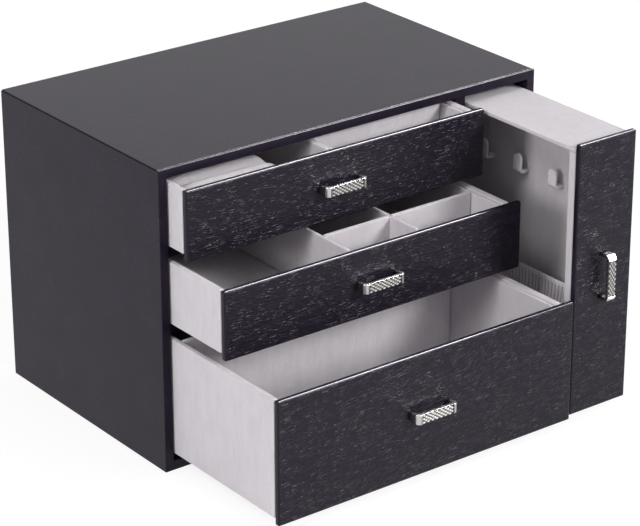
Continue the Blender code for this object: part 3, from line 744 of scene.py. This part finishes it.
def sweep(name, route, sections):
    """A closed strip along a route in the XY plane, its width along Z."""
    shape = bmesh.new()
    rings = []
    for i, (point, outline) in enumerate(zip(route, sections)):
        ahead = (route[min(i + 1, len(route) - 1)] - route[max(i - 1, 0)]).normalized()
        across = Vector((-ahead.y, ahead.x))
        rings.append([shape.verts.new((*(point + across * thick), wide))
                      for thick, wide in outline])
    for ring, following in zip(rings, rings[1:]):
        for i, vert in enumerate(ring):
            after = (i + 1) % len(ring)
            shape.faces.new((vert, ring[after], following[after], following[i]))
    for ring in (rings[0], rings[-1]):
        shape.faces.new(ring)
    bmesh.ops.recalc_face_normals(shape, faces=shape.faces)
    return piece_from(shape, name, smooth=True)


def flatten_shading(piece):
    """Keep big faces flat in the light and let only the roundings shade smoothly."""
    modifier = piece.modifiers.new("flat_faces", "WEIGHTED_NORMAL")
    modifier.keep_sharp = True
    modifier.weight = FLAT_FACES_COUNT
    return settle(piece)


# %% [markdown]
# ## The nickel pulls
#
# The bar of each pull is hatched: two sets of slanting cuts leave rows of small diamonds, which
# glitter. The smooth ends, the rounded bends and the legs are left bright. The diamonds repeat by
# a rule, so Geometry Nodes set them out: a grid of points with every second row moved by half a
# step, and one cut diamond on each point. The cuts between them are marked, so that the finish
# darkens them there: that is painted shade, for the shadow in the cuts.

# %% A node tree that sets out diamonds in rows
DIAMOND_TOP = 0.45
DIAMOND_FOOT = 0.97


def hatching_tree():
    tree = bpy.data.node_groups.new("hatching", "GeometryNodeTree")
    for name, kind in (("Columns", "NodeSocketInt"), ("Rows", "NodeSocketInt"),
                       ("Column Step", "NodeSocketFloat"), ("Row Step", "NodeSocketFloat"),
                       ("Cut Depth", "NodeSocketFloat"), ("Finish", "NodeSocketMaterial")):
        tree.interface.new_socket(name, in_out="INPUT", socket_type=kind)
    tree.interface.new_socket("Geometry", in_out="OUTPUT", socket_type="NodeSocketGeometry")
    given = add(tree, "NodeGroupInput").outputs
    width, height = [sum_of(tree, sum_of(tree, given[count], 1, "SUBTRACT"), given[step],
                            "MULTIPLY")
                     for count, step in (("Columns", "Column Step"), ("Rows", "Row Step"))]
    grid = add(tree, "GeometryNodeMeshGrid", {"Size X": width, "Size Y": height,
                                              "Vertices X": given["Columns"],
                                              "Vertices Y": given["Rows"]}).outputs["Mesh"]
    points = add(tree, "GeometryNodeMeshToPoints", {"Mesh": grid}).outputs["Points"]
    index = add(tree, "GeometryNodeInputIndex").outputs["Index"]
    row = sum_of(tree, index, given["Rows"], "MODULO")
    odd = sum_of(tree, row, 2, "MODULO")
    shift = sum_of(tree, sum_of(tree, odd, 0.5, "SUBTRACT"),
                   sum_of(tree, given["Column Step"], 0.5, "MULTIPLY"), "MULTIPLY")
    aside = add(tree, "ShaderNodeCombineXYZ", {"X": shift}).outputs["Vector"]
    moved = add(tree, "GeometryNodeSetPosition", {"Geometry": points, "Offset": aside}
                ).outputs["Geometry"]
    diamond = add(tree, "GeometryNodeMeshCone", {"Vertices": 4, "Radius Top": DIAMOND_TOP,
                                                 "Radius Bottom": DIAMOND_FOOT, "Depth": 1.0}
                  ).outputs["Mesh"]
    half_step = sum_of(tree, given["Column Step"], 0.5, "MULTIPLY")
    size = add(tree, "ShaderNodeCombineXYZ", {"X": half_step, "Y": given["Row Step"],
                                              "Z": given["Cut Depth"]}).outputs["Vector"]
    placed = add(tree, "GeometryNodeInstanceOnPoints", {"Points": moved, "Instance": diamond,
                                                        "Scale": size}).outputs["Instances"]
    real = add(tree, "GeometryNodeRealizeInstances", {"Geometry": placed}).outputs["Geometry"]
    dressed = add(tree, "GeometryNodeSetMaterial", {"Geometry": real, "Material": given["Finish"]}
                  ).outputs["Geometry"]
    add(tree, "NodeGroupOutput", {"Geometry": dressed})
    return tree


def from_nodes(name, tree, **inputs):
    """A plain mesh made by a node tree, whose inputs are set by their identifiers."""
    made = bpy.data.objects.new(name, bpy.data.meshes.new(name))
    bpy.context.scene.collection.objects.link(made)
    step = made.modifiers.new("nodes", "NODES")
    step.node_group = tree
    for item in tree.interface.items_tree:
        if item.item_type == "SOCKET" and item.in_out == "INPUT":
            step[item.identifier] = inputs[item.name.replace(" ", "_").lower()]
    return settle(made)


# %% Bend the four pulls and cut their hatching
PULL_LENGTH = 32.5 * MM
PULL_REACH = 9.2 * MM
PULL_THICK = 2.8 * MM
PULL_WIDE = 6.8 * MM
PULL_FOOT_WIDE = 5.4 * MM
PULL_BEND = 2.2 * MM
PULL_CORNER = 0.55 * MM
PULL_NECK = 2.6 * MM
FOOT_GAP = 0.3 * MM
BEND_STEPS = 10
HATCH_DEPTH = 0.42 * MM
HATCH_END = 3.4 * MM
HATCH_SLOPE = 0.35 * MM
HATCH_COLUMNS = 7
HATCH_ROWS = 5
HATCH_ROW_STEP = 1.15 * MM
HATCHING = hatching_tree()


def bend_pull(drawer, upright=False):
    low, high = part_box(drawer + "_handle")
    centre = Vector(((low.x + high.x) / 2, high.y + FOOT_GAP, (low.z + high.z) / 2))
    leg_at = (PULL_LENGTH - PULL_THICK) / 2
    bar_at = PULL_THICK / 2 - PULL_REACH
    near_end = arc((PULL_BEND - leg_at, bar_at + PULL_BEND), PULL_BEND, 180, 270, BEND_STEPS)
    far_end = arc((leg_at - PULL_BEND, bar_at + PULL_BEND), PULL_BEND, 270, 360, BEND_STEPS)
    hatch_from = HATCH_END - PULL_LENGTH / 2
    stops = [hatch_from - HATCH_SLOPE, hatch_from, -hatch_from, HATCH_SLOPE - hatch_from]
    bar = [Vector((stop, bar_at)) for stop in stops]
    route = [Vector((-leg_at, -FOOT_GAP)), Vector((-leg_at, -PULL_NECK)), *near_end, *bar,
             *far_end, Vector((leg_at, -PULL_NECK)), Vector((leg_at, -FOOT_GAP))]
    sections = []
    for point in route:
        share = min(1, (-FOOT_GAP - point.y) / (PULL_REACH - PULL_THICK - FOOT_GAP))
        wide = PULL_FOOT_WIDE + (PULL_WIDE - PULL_FOOT_WIDE) * max(0, share)
        outline = section(PULL_THICK / 2, wide / 2, PULL_CORNER)
        if near(point.y, bar_at) and abs(point.x) <= HAIR - hatch_from:
            outline = [(max(thick, HATCH_DEPTH - PULL_THICK / 2), wide_at)
                       for thick, wide_at in outline]
        sections.append(outline)
    pull = sweep(drawer + "_pull", route, sections)
    hatch_length = -2 * hatch_from
    column_step = hatch_length / (HATCH_COLUMNS + 0.5)
    hatching = from_nodes(drawer + "_pull_hatching", HATCHING, columns=HATCH_COLUMNS,
                          rows=HATCH_ROWS, column_step=column_step, row_step=HATCH_ROW_STEP,
                          cut_depth=HATCH_DEPTH, finish=FINISHES["handle_nickel"])
    hatching.data.transform(Matrix.Translation((0, HATCH_DEPTH - PULL_REACH, 0))
                            @ Matrix.Rotation(math.radians(90), 4, "X"))
    # Painted shade: the floor of the cuts on the bar, and each diamond towards its foot, are
    # marked to be darkened.
    mark(pull, "cut_shade", lambda at: near(at.y, HATCH_DEPTH - PULL_REACH)
         and abs(at.x) < HAIR - hatch_from)
    mark(hatching, "cut_shade", lambda at: (at.y + PULL_REACH) / HATCH_DEPTH)
    turn = Matrix.Rotation(math.radians(-90), 4, "Y") if upright else Matrix.Identity(4)
    for piece in (pull, hatching):
        piece.data.transform(Matrix.Translation(centre) @ turn)
    flatten_shading(pull)
    dress(pull, drawer + "_handle")
    dress(hatching, slot="handle_nickel", body=drawer)
    return pull


for drawer in STACKED:
    bend_pull(drawer)
pull = bend_pull("tall_drawer", upright=True)
print("faces in a pull:", len(pull.data.polygons))

# %% [markdown]
# ## The necklace hooks
#
# Each hook is a flat plastic strip. Its foot is pegged in the side panel, it bends up, and it ends
# in a round tip. The same sweep makes it: the width shrinks along a circle near the tip.

# %% Bend the three necklace hooks
HOOK_THICK = 2.2 * MM
HOOK_BEND = 2.2 * MM
HOOK_CORNER = 0.5 * MM
TIP_STEPS = 14
TIP_TURN = math.radians(84)
SUNK = 0.3 * MM


def bend_hook(place):
    low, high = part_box("tall_drawer_hook_" + place)
    half_wide = (high.y - low.y) / 2
    panel_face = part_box("tall_drawer_side_panel")[0].x
    reach = panel_face - low.x
    paddle_at = HOOK_THICK / 2 - reach
    rise = high.z - low.z - HOOK_THICK / 2
    bend = arc((paddle_at + HOOK_BEND, HOOK_BEND), HOOK_BEND, 270, 180, BEND_STEPS)
    route, half_widths = [Vector((SUNK, 0)), *bend], [half_wide] * (len(bend) + 1)
    for step in range(TIP_STEPS + 1):
        turn = TIP_TURN * step / TIP_STEPS
        route.append(Vector((paddle_at, rise - half_wide + half_wide * math.sin(turn))))
        half_widths.append(half_wide * math.cos(turn))
    sections = [section(HOOK_THICK / 2, half, HOOK_CORNER) for half in half_widths]
    hook = sweep("necklace_hook_" + place, route, sections)
    place_in_box = Matrix.Translation((panel_face, (low.y + high.y) / 2, low.z + HOOK_THICK / 2))
    hook.data.transform(place_in_box @ Matrix.Rotation(math.radians(90), 4, "X"))
    dress(flatten_shading(hook), "tall_drawer_hook_" + place)
    print(f"{place} hook: reaches {reach / MM:.1f} mm, {(high.z - low.z) / MM:.1f} mm high")


for place in ("front", "middle", "rear"):
    bend_hook(place)

# %% [markdown]
# ## The pads in the top drawer
#
# Rings stand between soft rolls of foam under suede. The left pad has rolls that run from side to
# side, and the small pad on the right has lanes that run from front to back. Each pad is a block
# whose top is a lattice of shallow arches, and these give it its form. The cloth is held along
# its channels and its foot, and a short cloth simulation under a little pressure swells what lies
# between. On pads this small and closely meshed the cloth is too heavy to swell far: the cell
# prints by how little. One subdivision smooths the result.

# %% Sew and fill the two ring pads
PAD_LOBE_POINTS = 10
PAD_LENGTH_STEP = 3.2 * MM
PAD_FEWEST_STEPS = 6
PAD_ROUNDNESS = 0.6
PAD_PRESSURE = 4.0
PAD_CAP = 1.1 * MM
PAD_SHRINK = 0.5 * MM
PAD_FRAMES = 20
PAD_SIDE_ROWS = 3
PAD_TENSION = 40
PAD_COMPRESSION = 20
PAD_BENDING = 0.8


def arched_block(name, low, high, lobes, depth, along):
    """A closed block with an arched top. Returns it with the numbers of the points held fast."""
    across = 1 - along
    size = high - low
    counts = [0, 0]
    counts[across] = lobes * PAD_LOBE_POINTS
    counts[along] = max(PAD_FEWEST_STEPS, round(size[along] / PAD_LENGTH_STEP))
    shape = bmesh.new()

    def arch(i, j):
        at = [i / counts[0], j / counts[1]]
        swell = max(0.0, math.sin(math.pi * (at[across] * lobes % 1))) ** PAD_ROUNDNESS
        from_end = min(at[along], 1 - at[along]) * size[along]
        inwards = min(1, from_end / (2 * depth))
        return high.z - depth * (1 - swell * math.sqrt(1 - (1 - inwards) ** 2))

    def ring_place(i, j):
        return (low.x + size.x * i / counts[0], low.y + size.y * j / counts[1])

    keys = [(i, j) for i in range(counts[0] + 1) for j in range(counts[1] + 1)]
    top = {key: shape.verts.new((*ring_place(*key), arch(*key))) for key in keys}
    foot = {key: shape.verts.new((*ring_place(*key), low.z)) for key in keys}
    for level in (top, foot):
        for i in range(counts[0]):
            for j in range(counts[1]):
                shape.faces.new((level[i, j], level[i + 1, j], level[i + 1, j + 1],
                                 level[i, j + 1]))
    rim = ([(i, 0) for i in range(counts[0])] + [(counts[0], j) for j in range(counts[1])]
           + [(i, counts[1]) for i in range(counts[0], 0, -1)]
           + [(0, j) for j in range(counts[1], 0, -1)])
    rows = [[top[key] for key in rim]]
    for row in range(1, PAD_SIDE_ROWS):
        share = row / PAD_SIDE_ROWS
        rows.append([shape.verts.new((*ring_place(*key),
                                      arch(*key) + (low.z - arch(*key)) * share)) for key in rim])
    rows.append([foot[key] for key in rim])
    for upper, lower in zip(rows, rows[1:]):
        for k in range(len(rim)):
            after = (k + 1) % len(rim)
            shape.faces.new((upper[k], upper[after], lower[after], lower[k]))
    bmesh.ops.recalc_face_normals(shape, faces=shape.faces)
    shape.verts.index_update()
    held = [top[key].index for key in keys if key[across] % PAD_LOBE_POINTS == 0]
    held += [vert.index for row in rows[1:-1] for vert in row]
    held += [vert.index for vert in foot.values()]
    return piece_from(shape, name), held


def swell_pad(piece, held, low, high):
    """Put the cloth under pressure between its held points, and cap how far each one moves."""
    rest = np.empty(len(piece.data.vertices) * 3)
    piece.data.vertices.foreach_get("co", rest)
    piece.vertex_groups.new(name="held").add(held, 1.0, "REPLACE")
    cloth = piece.modifiers.new("cloth", "CLOTH")
    cloth.settings.vertex_group_mass = "held"
    cloth.settings.use_pressure = True
    cloth.settings.uniform_pressure_force = PAD_PRESSURE
    cloth.settings.effector_weights.gravity = 0
    cloth.settings.tension_stiffness = PAD_TENSION
    cloth.settings.compression_stiffness = PAD_COMPRESSION
    cloth.settings.bending_stiffness = PAD_BENDING
    cloth.collision_settings.use_collision = False
    cloth.point_cache.frame_start, cloth.point_cache.frame_end = 1, PAD_FRAMES
    for moment in range(1, PAD_FRAMES + 1):
        bpy.context.scene.frame_set(moment)
    settle(piece)
    bpy.context.scene.frame_set(1)
    blown = np.empty_like(rest)
    piece.data.vertices.foreach_get("co", blown)
    rest, blown = rest.reshape(-1, 3), blown.reshape(-1, 3)
    move = blown - rest
    length = np.linalg.norm(move, axis=1, keepdims=True)
    move *= np.minimum(1, PAD_CAP / np.maximum(length, 1e-9))
    placed = np.clip(rest + move, np.array(low), np.array(high))
    piece.data.vertices.foreach_set("co", placed.reshape(-1))
    piece.data.update()
    print(f"{piece.name}: cloth moved by up to {np.abs(length).max() / MM:.2f} mm")


def fill_pad(name, node, lobes, depth, along):
    low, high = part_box(node)
    inset = Vector((PAD_SHRINK, PAD_SHRINK, 0))
    low, high = low + inset, high - inset
    pad, held = arched_block(name, low, high - Vector((0, 0, PAD_SHRINK)), lobes, depth, along)
    swell_pad(pad, held, low - inset, high + inset)
    pad.vertex_groups.clear()
    pad.data.shade_smooth()
    smoothing = pad.modifiers.new("smoothing", "SUBSURF")
    smoothing.levels = smoothing.render_levels = 1
    dress(settle(pad), node)
    print(f"{name}: {lobes} lobes, {len(pad.data.polygons)} faces")


fill_pad("ring_roll_pad", "top_drawer_roll_pad", 9, 6.5 * MM, 0)
fill_pad("ring_lane_pad", "top_drawer_ring_pad", 5, 5.5 * MM, 1)

# %% [markdown]
# ## The gathered pocket
#
# The pocket is one strip of velvet, cut about twice as long as the panel and gathered on an
# elastic along its top edge. Its other three sides are caught under the panel's covering. The
# gathers are tight at the hem and spread and lean as they run down into the belly. The sheet is
# built row by row by this rule: a belly curve that gives the depth at each height, and a pleat
# wave across it whose spacing and strength wander a little from pleat to pleat.

# %% Gather the velvet pocket
PLEATS = 46
PLEAT_POINTS = 7
POCKET_ROWS = 22
PLEAT_DEPTH = 1.5 * MM
PLEAT_LEAN = 15 * MM
HEM_DEPTH = 11.5 * MM
BELLY = 18.5 * MM
BELLY_HEIGHT = 28 * MM
POCKET_FOOT = 19 * MM
POCKET_HEM = 76.2 * MM
POCKET_GAP = 0.5 * MM
VELVET = 0.7 * MM
SQUARE_ENDS = 5
PLEAT_CREST = 0.75
PLEAT_AT_ENDS = 0.6
PLEAT_WANDER = 0.22
PLEAT_UNEVEN = 0.3
# Painted shade: how narrowly the darkening between pleats gathers towards the middle of each fold.
PLEAT_SHADE_EDGE = 1.3
POCKET_END = 0.2 * MM


def smooth_random(count, seed, reach):
    """Gentle random numbers, one per pleat, that change little from one pleat to the next."""
    raw = np.random.default_rng(seed).uniform(-reach, reach, count + 2)
    return (raw[:-2] + raw[1:-1] + raw[2:]) / 2


def pocket_point(at, height, pleat_of, strength_of):
    """One point of the cloth: at runs 0..1 from front to back, height from foot to hem."""
    rise = (height - POCKET_FOOT) / (POCKET_HEM - POCKET_FOOT)
    above = height - POCKET_FOOT
    if above < BELLY_HEIGHT:
        depth = BELLY * math.sqrt(max(0, 1 - (1 - above / BELLY_HEIGHT) ** 2))
    else:
        share = (above - BELLY_HEIGHT) / (POCKET_HEM - POCKET_FOOT - BELLY_HEIGHT)
        depth = BELLY + (HEM_DEPTH - BELLY) * (1 - math.cos(math.pi * share)) / 2
    plan = max(0, 1 - abs(2 * at - 1) ** SQUARE_ENDS) ** (1 / SQUARE_ENDS)
    loose = PLEAT_AT_ENDS + (1 - PLEAT_AT_ENDS) * math.sin(math.pi * rise)
    swell = PLEAT_DEPTH * plan * min(1, depth / HEM_DEPTH) * loose * strength_of(at)
    wave = math.cos(math.tau * pleat_of(at))
    wave = math.copysign(abs(wave) ** PLEAT_CREST, wave)
    lean = PLEAT_LEAN * (1 - rise) * plan * math.sin(math.pi * at)
    y = pocket_front + at * (pocket_back - pocket_front) - lean
    return Vector((pocket_wall - POCKET_GAP - depth * plan - wave * swell, y, height))


def grid_sheet(name, rows, thickness, rounds=0, valley_of=None):
    """An open sheet of quads through rows of points, thickened and perhaps rounded."""
    shape = bmesh.new()
    # Painted shade: each point carries how deep it lies in a fold between pleats, for the finish
    # to darken it.
    valley = shape.verts.layers.float.new("valley")
    made_rows = [[shape.verts.new(point) for point in row] for row in rows]
    if valley_of:
        for row in made_rows:
            for k, vert in enumerate(row):
                vert[valley] = valley_of(k / (len(row) - 1))
    for lower, upper in zip(made_rows, made_rows[1:]):
        for k in range(len(lower) - 1):
            shape.faces.new((lower[k], upper[k], upper[k + 1], lower[k + 1]))
    bmesh.ops.recalc_face_normals(shape, faces=shape.faces)
    made = piece_from(shape, name, smooth=True)
    wall = made.modifiers.new("thickness", "SOLIDIFY")
    wall.thickness = thickness
    wall.offset = 0
    if rounds:
        smoothing = made.modifiers.new("smoothing", "SUBSURF")
        smoothing.levels = smoothing.render_levels = rounds
    return settle(made)


pocket_low, pocket_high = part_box("tall_drawer_pocket")
pocket_front, pocket_back = pocket_low.y + POCKET_END, pocket_high.y - POCKET_END
pocket_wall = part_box("tall_drawer_side_panel")[0].x
PLEAT_STEPS = smooth_random(PLEATS, 11, PLEAT_WANDER)
PLEAT_STRENGTHS = smooth_random(PLEATS + 1, 12, PLEAT_UNEVEN)


def pleat_number(at):
    """Where along its pleats the cloth is: whole numbers are crests, unevenly spaced."""
    whole = min(PLEATS - 1, int(at * PLEATS))
    return at * PLEATS + PLEAT_STEPS[whole] * math.sin(math.pi * (at * PLEATS - whole))


def pleat_strength(at):
    return 1 + np.interp(at * PLEATS, range(PLEATS + 1), PLEAT_STRENGTHS)


def pleat_shade_at(at):
    """Painted shade between the pleats, for the shadow in the folds: 1 deep in a fold, 0 on a
    crest.
    """
    return (0.5 - 0.5 * math.cos(math.tau * pleat_number(at))) ** PLEAT_SHADE_EDGE


columns = PLEATS * PLEAT_POINTS
heights = [POCKET_FOOT + (POCKET_HEM - POCKET_FOOT) * row / POCKET_ROWS
           for row in range(POCKET_ROWS + 1)]
cloth_rows = [[pocket_point(k / columns, height, pleat_number, pleat_strength)
               for k in range(columns + 1)] for height in heights]
pocket = dress(grid_sheet("velvet_pocket", cloth_rows, VELVET, valley_of=pleat_shade_at),
               "tall_drawer_pocket")

# %% [markdown]
# ## The elastic hem
#
# The elastic is sewn into a narrow hem that follows the pocket's top edge. Its own ripples are
# flatter, because the elastic holds it, so it is made of the same points, moved part of the way.

# %% Sew the elastic hem
HEM_TALL = 3.0 * MM
HEM_THICK = 1.5 * MM
HEM_RIPPLE = 0.45
HEM_SHARES = (0, 0.25, 0.5, 0.75, 1.0)
HEM_BELOW = 0.75
NO_PLEAT = 0.25


def hem_point(at, height):
    flat = pocket_point(at, POCKET_HEM, lambda at: NO_PLEAT, pleat_strength)
    rippled = pocket_point(at, POCKET_HEM, pleat_number, pleat_strength)
    return Vector((flat.x + (rippled.x - flat.x) * HEM_RIPPLE, flat.y, height))


hem_rows = [[hem_point(k / columns, POCKET_HEM + HEM_TALL * (share - HEM_BELOW))
             for k in range(columns + 1)] for share in HEM_SHARES]
hem = dress(grid_sheet("pocket_hem", hem_rows, HEM_THICK, 1), slot="pocket_velvet",
            body="tall_drawer")

# %% [markdown]
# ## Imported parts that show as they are
#
# A few small parts, such as the screws of the pulls, are already right in shape. They could be
# made again, but a finish is all that they lack.

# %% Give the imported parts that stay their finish
stay = [name for name, node in frame["nodes"].items() if not node.hide_render]
for name in stay:
    materials = frame["nodes"][name].data.materials
    materials.clear()
    materials.append(FINISHES[slot_of_node(name)])
print("shown as packed:", ", ".join(stay))
